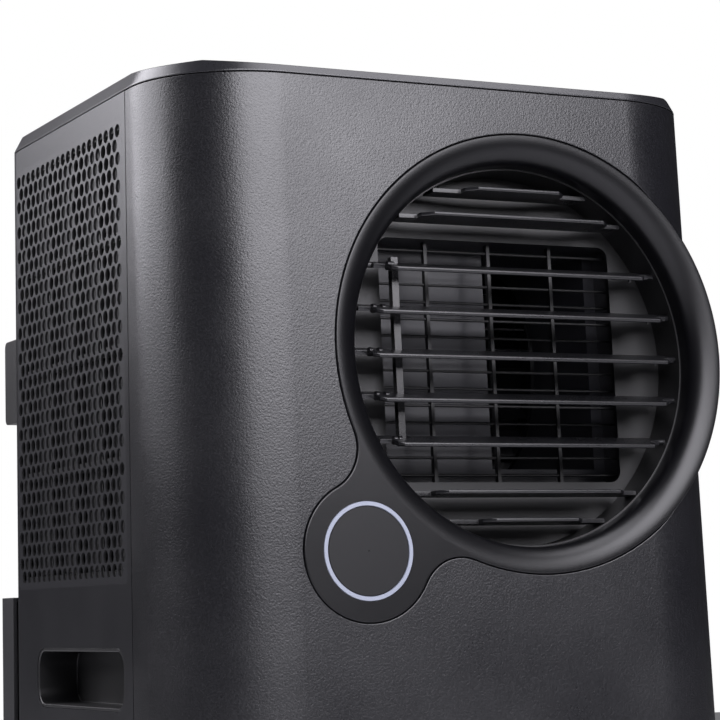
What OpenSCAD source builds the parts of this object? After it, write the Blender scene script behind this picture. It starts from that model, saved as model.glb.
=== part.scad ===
// Portable air conditioner: leaning front panel with a round louvred outlet, perforated sides,
// slide-out filters, a cooling section above a condenser section, four swivel castors.
// X is to the right seen from the front, the front faces -Y, Z is up from the floor.

/* [Body] */
// Width of the casing
body_w = 420; // [400:2:520]
// Overall depth, from the foot of the front panel to the rear cover
body_d = 405; // [390:1:490]
// Overall height on the castors
body_h = 773; // [763:1:930]
// Radius of the front vertical corners
corner_r = 78; // [50:1:90]
// Radius of the rear vertical corners
rear_corner_r = 25; // [20:1:30]
// Backward lean of the front panel, in degrees
face_lean = 2.35; // [0:0.05:4]
// Wall thickness of the casing
wall = 3; // [2.4:0.1:4]
// Visible joint between neighbouring casing parts
seam_gap = 0.6; // [0.4:0.1:1]
// Height of the top cover
top_h = 13; // [11:1:16]
// Height of the base tray
tray_h = 22; // [20:1:30]
// Depth of the lower rear cover behind the rear face
rear_cover_d = 36; // [28:1:44]
// Height of the lower rear cover above the base tray
rear_cover_h = 366; // [340:1:380]

/* [Outlet] */
// Distance of the outlet centre to the right of the middle
ring_x = 48; // [30:1:55]
// Distance of the outlet centre below the top seam
ring_drop = 180; // [170:1:200]
// Outer radius of the outlet bezel
ring_r = 150; // [130:1:155]
// Width of the rounded lip of the bezel
lip_w = 19; // [14:1:22]
// Depth of the rounded lip of the bezel
lip_d = 14; // [10:1:18]
// Depth of the bezel's outer wall
bezel_d = 48; // [44:1:56]
// Radius of the control lobe
lobe_r = 46; // [40:1:50]
// Distance between the outlet centre and the lobe centre
lobe_dist = 188; // [180:1:196]
// Radius of the hollow fillets between outlet and lobe
neck_r = 30; // [20:1:40]
// Depth of the outlet's back plate behind the face
plate_y = 48; // [46:1:56]
// Width of the air opening in the back plate
mouth_w = 184; // [150:1:190]
// Height of the air opening in the back plate
mouth_h = 168; // [140:1:172]

/* [Louvres] */
// Pitch of the five moving vanes
vane_pitch = 29.5; // [28:0.5:32]
// Chord of a vane, front to back
vane_chord = 28; // [24:0.5:28]
// Thickness of a vane
vane_t = 3; // [2:0.2:3.6]
// Depth of the vane's front edge behind the face
vane_front = 9.5; // [8:0.5:12]
// Distance from the vane's front edge back to its pivot
vane_pivot = 18; // [16:0.5:20]
// Set-back of the narrow vane ends behind the front edge
tab_back = 13; // [10:0.5:14]
// Radius of the circle on which the wide part of a vane ends
vane_front_r = 116.5; // [105:0.5:119]
// Downward tilt of the vanes, in degrees
vane_tilt = 16; // [0:1:20]
// Radius of the vane pins
vane_pin_r = 2; // [1.6:0.1:2.6]
// Distance from the vane pivot to its crank pin
crank_r = 7; // [6:0.5:8]
// Place of the link bar left of the outlet centre
link_x = 88; // [80:1:92]

/* [Controls] */
// Radius to the middle of the light ring
light_r = 30.6; // [26:0.2:34]
// Width of the light ring
light_w = 3; // [2:0.2:4]

/* [Side grilles] */
// Pitch of the perforation
hole_pitch = 11; // [10.5:0.5:12]
// Diameter of a perforation
hole_d = 9; // [7.5:0.1:9.2]
// Holes in the long rows
hole_cols = 20; // [14:1:20]
// Number of rows
hole_rows = 32; // [20:1:32]
// Length of a filter frame, front to back
filter_l = 230; // [220:1:234]
// Thickness of a filter frame
filter_t = 8; // [6:0.5:9]
// Reach of a filter's grip behind the rear corner
filter_grip = 16; // [12:1:22]
// Height of a filter's grip
filter_grip_h = 63; // [50:1:80]

/* [Castors] */
// Radius of a castor wheel
wheel_r = 16; // [14:1:17]
// Width of a castor wheel
wheel_w = 15; // [12:1:18]
// Trail of a castor, from swivel axis to wheel axle
castor_trail = 12; // [8:1:14]
// Gap below the base tray
ground_gap = 38; // [36:1:42]
// Radius of the swivel stem
stem_r = 5; // [4:0.5:6]
// Radius of the wheel axle
axle_r = 2.5; // [2:0.5:3]

/* [Fans] */
// Outer radius of the cooling blower wheel
blower_r = 84; // [70:1:90]
// Width of the cooling blower wheel
blower_w = 76; // [60:1:80]
// Outer radius of the condenser fan wheel
fan_r = 86; // [70:1:90]
// Width of the condenser fan wheel
fan_w = 52; // [40:1:58]
// Radius of the fan shafts
shaft_r = 4; // [3:0.5:5]
// Number of blades on each wheel
blade_n = 30; // [20:1:40]
// Inner diameter of the exhaust collar
exhaust_d = 130; // [110:1:140]

/* [Fits] */
// Radial clearance of a turning pin
run_gap = 0.08; // [0.05:0.01:0.1]
// Clearance of a sliding piece
slide_gap = 0.4; // [0.3:0.05:0.6]

/* [Hidden] */
$fn = 96;
big_fn = 360;
eps = 0.01;

z_tray = ground_gap;
z_base = z_tray + tray_h;
z_seam = body_h - top_h;
y_front = -body_d / 2;
y_back = body_d / 2;
y_rear = y_back - rear_cover_d;
y_corner = y_rear - rear_corner_r;
half_w = body_w / 2;
half_in = half_w - wall;
function face_y(z) = y_front + (z - z_base) * tan(face_lean);

ring_z = z_seam - ring_drop;
ring_y = face_y(ring_z);
bore_r = ring_r - lip_w;
lobe_c = [-lobe_dist * cos(45), -lobe_dist * sin(45)];
barrel_r = bore_r - 1.5;
barrel_t = 3.5;
barrel_front = lip_d + 7;

vane_y = vane_front + vane_pivot;
vane_mid = 1;
vane_reach = barrel_r - 3;
swing_room = 5;
fin_z = [94, 113];
fin_front_r = vane_front_r + 3;
ear_w = 5;
link_w = 5;
link_t = 5;
crank_pin_r = 1.3;
motor_r = 14;
motor_l = 19;

front_reach = 114.9;
hole_start = 14.4;
hole_drop = 24.4;
y_seam = y_front + front_reach;
hole_y0 = y_seam + hole_start;
hole_z0 = z_seam - hole_drop;
row_pitch = hole_pitch * sqrt(3) / 2;
grille_y = [hole_y0 - 8, hole_y0 + (hole_cols - 1) * hole_pitch + 5];
grille_z = [hole_z0 - (hole_rows - 1) * row_pitch - 9, hole_z0 + 9];
grille_t = 1.8;

filter_x = half_in - slide_gap - filter_t;
filter_y0 = y_seam + 4;
filter_z = grille_z + [1, -1];
rail_w = 3;
rail_cover = 7;

grip_start = 15;
grip_l = 176;
grip_rise = 287;
grip_h = 42;
grip_y = [y_seam + grip_start, y_seam + grip_start + grip_l];
grip_z = [z_base + grip_rise, z_base + grip_rise + grip_h];
grip_d = 32;
grip_t = 2.4;
grip_r = 14;

deck_rise = 335;
deck_z = z_base + deck_rise;
deck_t = 4;
deck_wall = 14;
coil_t = 26;
coil_x = filter_x - rail_w - coil_t - 3;
coil_y = [y_seam + 12, y_corner - 8];
coil_z = [deck_z + deck_t, z_seam - 34];
coil_bends = 8;
pipe_r = [5, 3];
pipe_x = [-coil_x - coil_t / 2, -coil_x - coil_t / 2 - 10];
pipe_y = coil_y[0] - 14;

blower_x = ring_x + mouth_w / 2 - blower_w / 2 - 4;
blower_z = ring_z + 4;
guard_y = plate_y + 12;
wire_pitch = 12;

scroll_r = blower_r + 20;
scroll_t = 3;
blower_y = y_rear - wall - scroll_r - scroll_t - 2;
throat_w = blower_w + 8;
chamber_d = 34;
chamber_w = mouth_w + 18;

fan_x = 20;
fan_y = 52;
fan_rise = 118;
fan_z = z_base + fan_rise;
fan_shell_r = fan_r + 16;
exhaust_x = 80;
exhaust_rise = 262;
exhaust_z = z_base + exhaust_rise;
exhaust_r = exhaust_d / 2;
exhaust_t = 3;
duct_step = 2;
condenser_y = [y_rear - 40, y_rear - 8];
condenser_z = [z_base + 16, z_base + 178];
intake_z = [z_base + 14, z_base + 182];
intake_x = [-172, 176];

comp_x = -118;
comp_y = -70;
comp_r = 56;
comp_h = 190;
comp_foot_h = 14;
comp_z = z_tray + wall + 3 + comp_foot_h;
acc_r = 15;
acc_gap = 1;
acc_z = [comp_z + 60, comp_z + 160];
acc_y = -comp_r - acc_gap - acc_r;

castor_x = half_w - 48;
castor_y = [y_front + 66, y_rear - 40];
boss_h = 18;

drain_x = -150;
drain_z = deck_z + 7;
drain_r = 6;
spout_end = y_back - 14;
cap_r = 9;
gland_z = exhaust_z - 30;
gland_r = 8;

screw_x = half_w - rear_corner_r - 10;
screw_r = 1.6;
sink = 2;
panel_screw_z = [z_base + rear_cover_h + 20, z_seam - 20];
cover_screw_z = [z_base + 212, z_base + rear_cover_h - 16];

// ---------- shared shapes ----------

// Box between two limits on each axis
module slab(x, y, z) {
  translate([x[0], y[0], z[0]]) cube([x[1] - x[0], y[1] - y[0], z[1] - z[0]]);
}

// Rod along X, Y or Z between two limits
module rod_x(r, x) { translate([x[0], 0, 0]) rotate([0, 90, 0]) cylinder(r = r, h = x[1] - x[0]); }
module rod_y(r, y) { translate([0, y[0], 0]) rotate([-90, 0, 0]) cylinder(r = r, h = y[1] - y[0]); }
module rod_z(r, z) { translate([0, 0, z[0]]) cylinder(r = r, h = z[1] - z[0]); }

// Rounded rectangle between two corners
module round_rect(lo, hi, r) {
  translate([lo[0] + r, lo[1]]) square([hi[0] - lo[0] - 2 * r, hi[1] - lo[1]]);
  translate([lo[0], lo[1] + r]) square([hi[0] - lo[0], hi[1] - lo[1] - 2 * r]);
  for (x = [lo[0] + r, hi[0] - r])
    for (y = [lo[1] + r, hi[1] - r])
      translate([x, y]) circle(r);
}

// Turns a drawing in (y, z) into a plate of thickness t that grows towards +X from x
module plate_yz(x, t) { translate([x, 0, 0]) rotate([90, 0, 90]) linear_extrude(t) children(); }

// Turns a drawing in (x, z) into a plate of thickness t that grows towards +Y from y
module plate_xz(y, t) { translate([0, y + t, 0]) rotate([90, 0, 0]) linear_extrude(t) children(); }

// Copy on the other side of the middle plane
module other_side() { mirror([1, 0, 0]) children(); }

// Places children in the frame of the outlet: origin at its centre on the leaning face, +Y inward
module on_face() { translate([ring_x, ring_y, ring_z]) rotate([-face_lean, 0, 0]) children(); }

// Plan of the casing, pulled in by an inset, from the front line y = 0 to a given depth
module front_plan(inset, depth) {
  r = corner_r - inset;
  w = half_w - inset;
  translate([-w, corner_r]) square([2 * w, depth - corner_r]);
  translate([-w + r, inset]) square([2 * (w - r), corner_r]);
  for (s = [-1, 1]) translate([s * (w - r), corner_r]) circle(r, $fn = big_fn);
}

// Whole plan of the casing, with the rear corners too
module body_plan(inset, front) {
  back = y_rear - inset;
  r = rear_corner_r - inset;
  translate([0, front]) front_plan(inset, y_corner - front);
  translate([-half_w + inset + r, 0]) square([2 * (half_w - inset - r), back]);
  for (s = [-1, 1]) translate([s * (half_w - inset - r), y_corner]) circle(r);
}

// Outline of bezel and control lobe in (x, z), grown by g
module bezel_outline(g) {
  a = ring_r + neck_r;
  b = lobe_r + neck_r;
  along = (a * a - b * b + lobe_dist * lobe_dist) / (2 * lobe_dist);
  off = sqrt(a * a - along * along);
  dir = lobe_c / lobe_dist;
  side = [-dir[1], dir[0]];
  p = dir * along + side * off;
  q = dir * along - side * off;
  circle(ring_r + g, $fn = big_fn);
  translate(lobe_c) circle(lobe_r + g);
  difference() {
    polygon([[0, 0], p, lobe_c, q]);
    translate(p) circle(neck_r - g);
    translate(q) circle(neck_r - g);
  }
}

// ---------- casing ----------

// Tray under the casing with four castor bosses
module base_tray() {
  color("#26272a") difference() {
    union() {
      difference() {
        translate([0, 0, z_tray]) linear_extrude(tray_h) body_plan(0, y_front);
        translate([0, 0, z_tray + wall]) linear_extrude(tray_h) body_plan(wall, y_front);
      }
      for (x = [-1, 1]) for (y = castor_y)
        translate([x * castor_x, y, 0]) rod_z(stem_r + 6, [z_tray + eps, z_tray + boss_h]);
      translate([comp_x, comp_y, 0]) rod_z(comp_r + 12, [z_tray + wall - eps, z_tray + wall + 3]);
    }
    for (x = [-1, 1]) for (y = castor_y)
      translate([x * castor_x, y, 0]) rod_z(stem_r + run_gap, [z_tray - 1, z_tray + boss_h + 1]);
    translate([0, 0, z_tray + wall + drain_r + 1]) rod_y(drain_r, [y_rear - wall - 1, y_rear + 1]);
  }
}

// Front shell: one leaning sheet that wraps both front corners
module front_panel() {
  tall = z_seam - z_base;
  color("#47474b") difference() {
    intersection() {
      translate([0, y_front, z_base]) rotate([-face_lean, 0, 0]) translate([0, 0, -30])
        linear_extrude(tall + 60) difference() {
          front_plan(0, 160);
          front_plan(wall, 161);
        }
      slab([-half_w - 1, half_w + 1], [y_front - 5, y_seam - seam_gap], [z_base, z_seam]);
    }
    on_face() plate_xz(-20, 110) bezel_outline(seam_gap);
  }
}

// Side shell with a grille window, a grip hole and a slot for the filter
module side_panel() {
  color("#3b3b3f") difference() {
    union() {
      slab([-half_w, -half_in], [y_seam, y_corner], [z_base, z_seam]);
      translate([-half_w + rear_corner_r, y_corner, z_base]) difference() {
        cylinder(r = rear_corner_r, h = z_seam - z_base);
        translate([0, 0, -1]) cylinder(r = rear_corner_r - wall, h = z_seam);
        translate([0, -rear_corner_r - 1, -1]) cube([rear_corner_r + 1, 2 * rear_corner_r + 2, z_seam]);
        translate([-rear_corner_r - 1, -rear_corner_r - 1, -1]) cube([rear_corner_r + 2, rear_corner_r + 1, z_seam]);
      }
      for (z = [filter_z[0] - slide_gap - rail_w, filter_z[1] + slide_gap])
        slab([-half_in - eps, -filter_x + slide_gap + rail_w], [filter_y0, y_corner - 4], [z, z + rail_w]);
      for (z = [filter_z[0] - slide_gap - eps, filter_z[1] + slide_gap - rail_cover + eps])
        slab([-filter_x + slide_gap, -filter_x + slide_gap + rail_w], [filter_y0, y_corner - 4], [z, z + rail_cover]);
    }
    plate_yz(-half_w - 1, wall + 2)
      round_rect([grille_y[0], grille_z[0]], [grille_y[1], grille_z[1]], 5);
    plate_yz(-half_w - 1, wall + 2)
      round_rect([grip_y[0], grip_z[0]], [grip_y[1], grip_z[1]], grip_r);
    slab([-half_in - slide_gap / 4, -filter_x + slide_gap], [y_corner - 2, y_rear + 1],
         filter_z + [-slide_gap, slide_gap]);
  }
}
module side_panel_left() { side_panel(); }
module side_panel_right() { other_side() side_panel(); }

// Perforated plate that fills the window of a side shell
module side_grille() {
  color("#2b2b2e") plate_yz(-half_w, grille_t) difference() {
    round_rect([grille_y[0], grille_z[0]], [grille_y[1], grille_z[1]], 5);
    for (j = [0 : hole_rows - 1]) {
      odd = j % 2;
      for (i = [0 : hole_cols - 1 - odd])
        translate([hole_y0 + (i + odd / 2) * hole_pitch, hole_z0 - j * row_pitch])
          circle(d = hole_d, $fn = 24);
    }
  }
}
module side_grille_left() { side_grille(); }
module side_grille_right() { other_side() side_grille(); }

// Upper rear sheet between the rear corners
module rear_panel() {
  color("#2f3033") difference() {
    slab([-half_w + rear_corner_r, half_w - rear_corner_r], [y_rear - wall, y_rear], [z_base + rear_cover_h, z_seam]);
    for (i = [-3 : 3]) plate_xz(y_rear - wall - 1, wall + 2)
      round_rect([i * 44 - 16, z_seam - 46], [i * 44 + 16, z_seam - 40], 2.9);
    screw_holes(y_rear, panel_screw_z);
  }
}

// Lower rear shell that stands out behind the casing
module rear_cover() {
  z1 = z_base + rear_cover_h;
  r = 12;
  x = half_w - 3;
  color("#2f3033") difference() {
    translate([0, 0, z_base]) linear_extrude(rear_cover_h)
      round_rect([-x, y_rear - 2 * r], [x, y_back], r);
    translate([0, 0, z_base - 1]) linear_extrude(rear_cover_h - wall + 1)
      round_rect([-x + wall, y_rear - 3 * r], [x - wall, y_back - wall], r - wall);
    slab([-half_w, half_w], [y_rear - 3 * r, y_rear], [z_base - 1, z1 + 1]);
    translate([exhaust_x, 0, exhaust_z]) rod_y(exhaust_r + exhaust_t, [y_back - wall - 1, y_back + 1]);
    plate_xz(y_back - wall - 1, wall + 2)
      round_rect([intake_x[0], intake_z[0]], [intake_x[1], intake_z[1]], 8);
    translate([drain_x, 0, drain_z]) rod_y(cap_r + 2, [y_back - wall - 1, y_back + 1]);
    translate([drain_x, 0, gland_z]) rod_y(gland_r, [y_back - wall - 1, y_back + 1]);
    screw_holes(y_back, cover_screw_z);
    for (z = cover_screw_z) for (s = [-1, 1]) translate([s * screw_x, 0, z]) rod_y(5, [y_back - sink, y_back + 1]);
  }
}

// Lid with a sloping rim, cut lower along the front, and a lip that locates it in the casing
module top_cover() {
  front = face_y(z_seam);
  foot = 1.5;
  rim = 6;
  steps = 6;
  rise = (top_h - foot) / steps;
  brow = [front + 2.5, z_seam + 6.1];
  corner = [half_w - 19, front + 33.3, z_seam + 9.2];
  corner_turn = 55;
  color("#515156") difference() {
    union() {
      translate([0, 0, z_seam]) linear_extrude(seam_gap + eps) body_plan(1.2, front);
      translate([0, 0, z_seam + seam_gap]) linear_extrude(foot - seam_gap + eps) body_plan(0, front);
      for (i = [1 : steps]) translate([0, 0, z_seam + foot + (i - 1) * rise])
        linear_extrude(rise + (i < steps ? eps : 0)) body_plan(rim * (i - 0.5) / steps, front);
    }
    brow_cut([0, brow[0], brow[1]], 0, body_w + 2);
    brow_cut([-corner[0], corner[1], corner[2]], -corner_turn, 140);
    brow_cut(corner, corner_turn, 140);
  }
}

// Sloping slab above the lid: it starts at a point on the rim, and rises away from the edge
module brow_cut(at, turn, w) {
  slope = 0.18;
  ahead = 12;
  top = body_h + 1 - at[2];
  translate(at) rotate([0, 0, turn]) translate([-w / 2, 0, 0]) rotate([90, 0, 90]) linear_extrude(w)
    polygon([[-ahead, -ahead * slope], [top / slope, top], [-ahead, top]]);
}

// Pocket behind a grip hole
module grip() {
  lo = [grip_y[0], grip_z[0]];
  hi = [grip_y[1], grip_z[1]];
  t = [grip_t, grip_t];
  color("#1f1f22") difference() {
    union() {
      plate_yz(-half_w + 0.4, grip_d) round_rect(lo, hi, grip_r);
      plate_yz(-half_in, grip_t) round_rect(lo - 2 * t, hi + 2 * t, grip_r + 2);
    }
    plate_yz(-half_w - 1, grip_d - grip_t + 1) round_rect(lo + t, hi - t, grip_r - grip_t);
  }
}
module grip_left() { grip(); }
module grip_right() { other_side() grip(); }

// ---------- outlet ----------

// Bezel: rounded lip, outer wall and the flat control lobe in one piece
module outlet_bezel() {
  steps = 14;
  skin = 3;
  lip = [for (i = [0 : steps]) [bore_r + lip_w * (1 - sin(90 * i / steps)), lip_d * (1 - cos(90 * i / steps))]];
  section = concat(lip, [[bore_r, barrel_front], [bore_r + skin, barrel_front], [bore_r + skin, lip_d + 2],
    [ring_r - skin, skin + 2], [ring_r - skin, bezel_d], [ring_r, bezel_d]]);
  color("#232326") on_face() {
    difference() {
      rotate([-90, 0, 0]) rotate_extrude($fn = big_fn) polygon(section);
      slab([-ring_r - 1, -bore_r - skin + 0.5], [lip_d - 1, bezel_d + 1], [-motor_r - 9, motor_r + 9]);
    }
    difference() {
      plate_xz(0, 10) bezel_outline(0);
      plate_xz(skin, 11) bezel_outline(-skin);
      rod_y(ring_r - 1, [-1, 12]);
      translate([lobe_c[0], 0, lobe_c[1]]) rod_y(light_r + light_w / 2, [-1, 12]);
    }
  }
}

// Barrel behind the bezel with the pivot holes and the back plate
module outlet_barrel() {
  r1 = barrel_r + barrel_t;
  color("#1a1a1c") on_face() difference() {
    union() {
      difference() {
        rod_y(r1, [barrel_front, plate_y]);
        rod_y(barrel_r, [barrel_front - 1, plate_y + 1]);
      }
      difference() {
        rod_y(r1 + 6, [plate_y, plate_y + 3]);
        plate_xz(plate_y - 1, 5)
          round_rect([-mouth_w / 2, -mouth_h / 2], [mouth_w / 2, mouth_h / 2], 8);
      }
      difference() {
        rod_y(ring_r - 3, [bezel_d - 6, bezel_d - 3]);
        rod_y(r1 - eps, [bezel_d - 7, bezel_d]);
      }
    }
    for (k = [-2 : 2]) translate([0, vane_y, vane_mid + k * vane_pitch])
      rod_x(vane_pin_r + run_gap, [-ring_r, ring_r]);
  }
}

// Guard grid behind the vanes
module outlet_guard() {
  bar_pitch = (chamber_w - 2.5) / 4;
  wires = floor((mouth_h - 12) / wire_pitch);
  color("#1e1e20") on_face() {
    for (i = [-2 : 2]) slab([i * bar_pitch - 1.25, i * bar_pitch + 1.25], [guard_y - 2, guard_y + 2],
      [-mouth_h / 2, mouth_h / 2]);
    for (i = [0 : wires]) translate([0, guard_y, (i - wires / 2) * wire_pitch])
      rod_x(1, [-chamber_w / 2, chamber_w / 2]);
  }
}

// Half of the chord that a circle of radius r has at a height z
function half_chord(r, z) = sqrt(r * r - z * z);

// Flat blade with its pivot on the X axis and its front edge towards -Y:
// wide part of half length front, narrow ends out to half length half
module blade(front, half) {
  y0 = -vane_pivot;
  y1 = y0 + vane_chord;
  slab([-front, front], [y0 + vane_t / 2, y1], [-vane_t / 2, vane_t / 2]);
  translate([0, y0 + vane_t / 2, 0]) rod_x(vane_t / 2, [-front, front]);
  slab([-half, half], [y0 + tab_back, y1], [-vane_t / 2, vane_t / 2]);
}

// Moving vane k (-2 lowest to 2 highest) with end pins, link notch and crank pin
module vane(k) {
  z = vane_mid + k * vane_pitch;
  half = half_chord(vane_reach, abs(z) + swing_room);
  wall_x = half_chord(barrel_r + barrel_t, z);
  left_end = k == 0 ? wall_x + 8 : wall_x;
  color("#2a2a2d") on_face() translate([0, vane_y, z]) rotate([vane_tilt, 0, 0]) {
    difference() {
      blade(half_chord(vane_front_r, z), half);
      slab([-link_x - ear_w, -link_x + ear_w], [crank_r - link_w / 2 - 2.4, vane_chord], [-vane_t, vane_t]);
    }
    translate([0, crank_r, 0]) rod_x(crank_pin_r, [-link_x - ear_w - 1, -link_x + ear_w + 1]);
    rod_x(vane_pin_r, [-left_end, -half + 4]);
    rod_x(vane_pin_r, [half - 4, wall_x]);
  }
}
module vane_1() { vane(2); }
module vane_2() { vane(1); }
module vane_3() { vane(0); }
module vane_4() { vane(-1); }
module vane_5() { vane(-2); }

// Upright bar that ties the five crank pins together
module vane_link() {
  y = vane_y + crank_r * cos(vane_tilt);
  z = vane_mid + crank_r * sin(vane_tilt);
  over = 2 * vane_pitch + 5;
  color("#141415") on_face() translate([-link_x, y, z]) difference() {
    slab([-link_t / 2, link_t / 2], [-link_w / 2, link_w / 2], [-over, over]);
    for (k = [-2 : 2]) translate([0, 0, k * vane_pitch])
      rod_x(crank_pin_r + run_gap, [-link_t, link_t]);
  }
}

// Four fixed fins above and below the moving vanes
module fixed_louvres() {
  color("#2a2a2d") on_face() for (s = [-1, 1]) for (z = fin_z * s) {
    half = half_chord(barrel_r, abs(z) + vane_t / 2);
    translate([0, vane_y, z]) blade(half_chord(fin_front_r, z), half);
  }
}

// Step motor on the left of the barrel, turning the middle vane
module vane_motor() {
  x0 = -half_chord(barrel_r + barrel_t, vane_mid) - 1;
  color("#b9bcc0") on_face() translate([0, vane_y, vane_mid]) difference() {
    union() {
      rod_x(motor_r, [x0 - motor_l, x0]);
      slab([x0 - 2, x0], [-6, 6], [-21, 21]);
      rod_x(5, [x0 - eps, x0 + 1 - eps]);
    }
    rod_x(vane_pin_r + run_gap, [x0 - 8, x0 + 2]);
  }
}

// ---------- controls ----------

module at_lobe() { on_face() translate([lobe_c[0], 0, lobe_c[1]]) children(); }

module touch_disc() { color("#3a3a3c") at_lobe() rod_y(light_r - light_w / 2, [0, 3]); }

module light_ring() {
  color("#c5c9d8") at_lobe() difference() {
    rod_y(light_r + light_w / 2, [0, 6]);
    rod_y(light_r - light_w / 2, [-1, 7]);
  }
}

// Board behind the lobe
module touch_board() {
  color("#1d5b3a") at_lobe() {
    rod_y(light_r + light_w / 2 + 4, [6, 7.6]);
    rod_y(5, [3, 6 + eps]);
  }
}

// ---------- filters ----------

// Frame with cross bars and a grip at its rear end
module filter_frame() {
  x = -filter_x - filter_t;
  y1 = filter_y0 + filter_l;
  rim = 8;
  mid_z = (filter_z[0] + filter_z[1]) / 2;
  color("#1b1b1d") {
    plate_yz(x, filter_t) difference() {
      translate([filter_y0, filter_z[0]]) square([filter_l, filter_z[1] - filter_z[0]]);
      for (i = [0 : 3]) for (j = [0 : 3]) {
        w = (filter_l - 14 - rim) / 4;
        h = (filter_z[1] - filter_z[0] - rim) / 4;
        translate([filter_y0 + rim + i * w, filter_z[0] + rim + j * h]) square([w - rim / 2, h - rim / 2 - 2]);
      }
    }
    plate_yz(x, filter_t)
      round_rect([y1 - 12, mid_z - filter_grip_h / 2], [y_rear + filter_grip, mid_z + filter_grip_h / 2], 5);
    intersection() {
      slab([x, x + filter_t], [y1 - eps, y_rear], filter_z);
      translate([rear_corner_r - half_w, y_corner, 0]) rod_z(rear_corner_r, filter_z);
    }
  }
}
module filter_frame_left() { filter_frame(); }
module filter_frame_right() { other_side() filter_frame(); }

// Gauze on the inner face of the frame
module filter_mesh() {
  color("#101011") slab([-filter_x, -filter_x + 0.2], [filter_y0 + 4, filter_y0 + filter_l - 12],
    filter_z + [rail_cover + 2, -rail_cover - 2]);
}
module filter_mesh_left() { filter_mesh(); }
module filter_mesh_right() { other_side() filter_mesh(); }

// ---------- cooling section ----------

// Deck that parts the two sections and catches condensate
module deck_tray() {
  color("#3a3c40") difference() {
    union() {
      translate([0, 0, deck_z]) linear_extrude(deck_t) body_plan(wall, face_y(deck_z + deck_t) + slide_gap);
      for (s = [-1, 1]) slab([s * coil_x + (s < 0 ? -coil_t - 2 : -2), s * coil_x + (s < 0 ? 2 : coil_t + 2)],
        [coil_y[0] - 2, coil_y[1] + 2], [deck_z, deck_z + deck_wall]);
      translate([drain_x, 0, drain_z]) rod_y(drain_r, [coil_y[1], spout_end]);
    }
    for (s = [-1, 1]) slab([s * coil_x + (s < 0 ? -coil_t : 0), s * coil_x + (s < 0 ? 0 : coil_t)],
      coil_y, [deck_z + deck_t, deck_z + deck_wall + 1]);
    translate([drain_x, 0, drain_z]) rod_y(drain_r - 2, [coil_y[1] - 10, spout_end + 1]);
    for (i = [0, 1]) translate([pipe_x[i], pipe_y, 0]) rod_z(pipe_r[i] + 0.5, [deck_z - 1, deck_z + deck_t + 1]);
  }
}

// Pitch of the return bends of a coil
function bend_pitch(z, bends) = (z[1] - z[0] - 20) / bends;

// Fin pack with end plates and the return bends of its tubes
module coil(x, y, z, bends) {
  pitch = bend_pitch(z, bends);
  slab(x, [y[0] + 10, y[1] - 10], z);
  for (yy = [y[0] + 8, y[1] - 10]) slab(x, [yy, yy + 2 + eps], z);
  for (i = [0 : bends - 1]) translate([(x[0] + x[1]) / 2, y[0] + 8, z[0] + 10 + (i + 0.5) * pitch])
    rotate([0, 90, 0]) rotate([0, 0, 180]) rotate_extrude(angle = 180) translate([pitch / 4, 0]) circle(3);
}
module evaporator_left() {
  color("#b7bcc2") coil([-coil_x - coil_t, -coil_x], coil_y, coil_z, coil_bends);
}
module evaporator_right() { other_side() evaporator_left(); }

// Scroll case, its throat and the shallow chamber behind the guard
module blower_housing() {
  x = [blower_x - throat_w / 2, blower_x + throat_w / 2];
  y_plate = ring_y + plate_y + 3;
  y_end = y_plate + chamber_d;
  z = [ring_z - mouth_h / 2 - 4, ring_z + mouth_h / 2 - 4];
  t = scroll_t;
  color("#3c3c40") difference() {
    union() {
      translate([0, blower_y, blower_z]) rod_x(scroll_r + t, x + [-t, t]);
      slab(x + [-t, t], [y_end - t, blower_y], [z[0] - t, z[1] + t]);
      on_face() slab([-chamber_w / 2 - t, chamber_w / 2 + t], [plate_y + 3, plate_y + 3 + chamber_d],
        [-mouth_h / 2 - t, mouth_h / 2 + t]);
      slab([blower_x - 26, blower_x + 26], [blower_y - 30, blower_y + 30], [deck_z + deck_t, blower_z - scroll_r]);
    }
    translate([0, blower_y, blower_z]) rod_x(scroll_r, x);
    slab(x, [y_end - 2 * t, blower_y], z);
    on_face() slab([-chamber_w / 2, chamber_w / 2], [plate_y, plate_y + 3 + chamber_d - t],
      [-mouth_h / 2, mouth_h / 2]);
    translate([0, blower_y, blower_z]) rod_x(blower_r - 14, x + [-t - 1, t + 1]);
  }
}

// Squirrel-cage wheel along X, centred on the origin
module cage(r, w, n) {
  depth = 12;
  for (x = [-w / 2, w / 2 - 3]) difference() {
    rod_x(r, [x, x + 3]);
    rod_x(r - depth, [x - 1, x + 4]);
  }
  difference() {
    rod_x(r - depth + 2, [-1.5, 1.5]);
    for (a = [0 : 60 : 359]) rotate([a, 0, 0]) translate([0, r * 0.5, 0]) rod_x(r * 0.14, [-3, 3]);
  }
  for (i = [0 : n - 1]) rotate([i * 360 / n, 0, 0]) translate([0, r - depth / 2 - 0.6, 0]) rotate([24, 0, 0])
    cube([w - 1, depth - 2, 1.4], center = true);
  rod_x(shaft_r + 6, [-12, 12]);
}

module blower_wheel() {
  color("#e4e5e7") translate([blower_x, blower_y, blower_z]) {
    cage(blower_r, blower_w, blade_n);
    rod_x(shaft_r, [-blower_w / 2 - 18, 13]);
  }
}

// Motor on three arms in the left inlet of the scroll
module blower_motor() {
  x1 = blower_x - throat_w / 2 - scroll_t;
  can_r = 34;
  can = [x1 - 52, x1 - 4];
  bore_l = 30;
  arm_w = 10;
  arm_t = 8;
  color("#9da1a6") translate([0, blower_y, blower_z]) {
    difference() {
      rod_x(can_r, can);
      rod_x(shaft_r + run_gap, [x1 - bore_l, x1]);
    }
    for (a = [90, 210, 330]) rotate([a, 0, 0])
      slab([x1 - arm_t, x1], [can_r - 4, blower_r + 4], [-arm_w / 2, arm_w / 2]);
  }
}

// ---------- condenser section ----------

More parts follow.
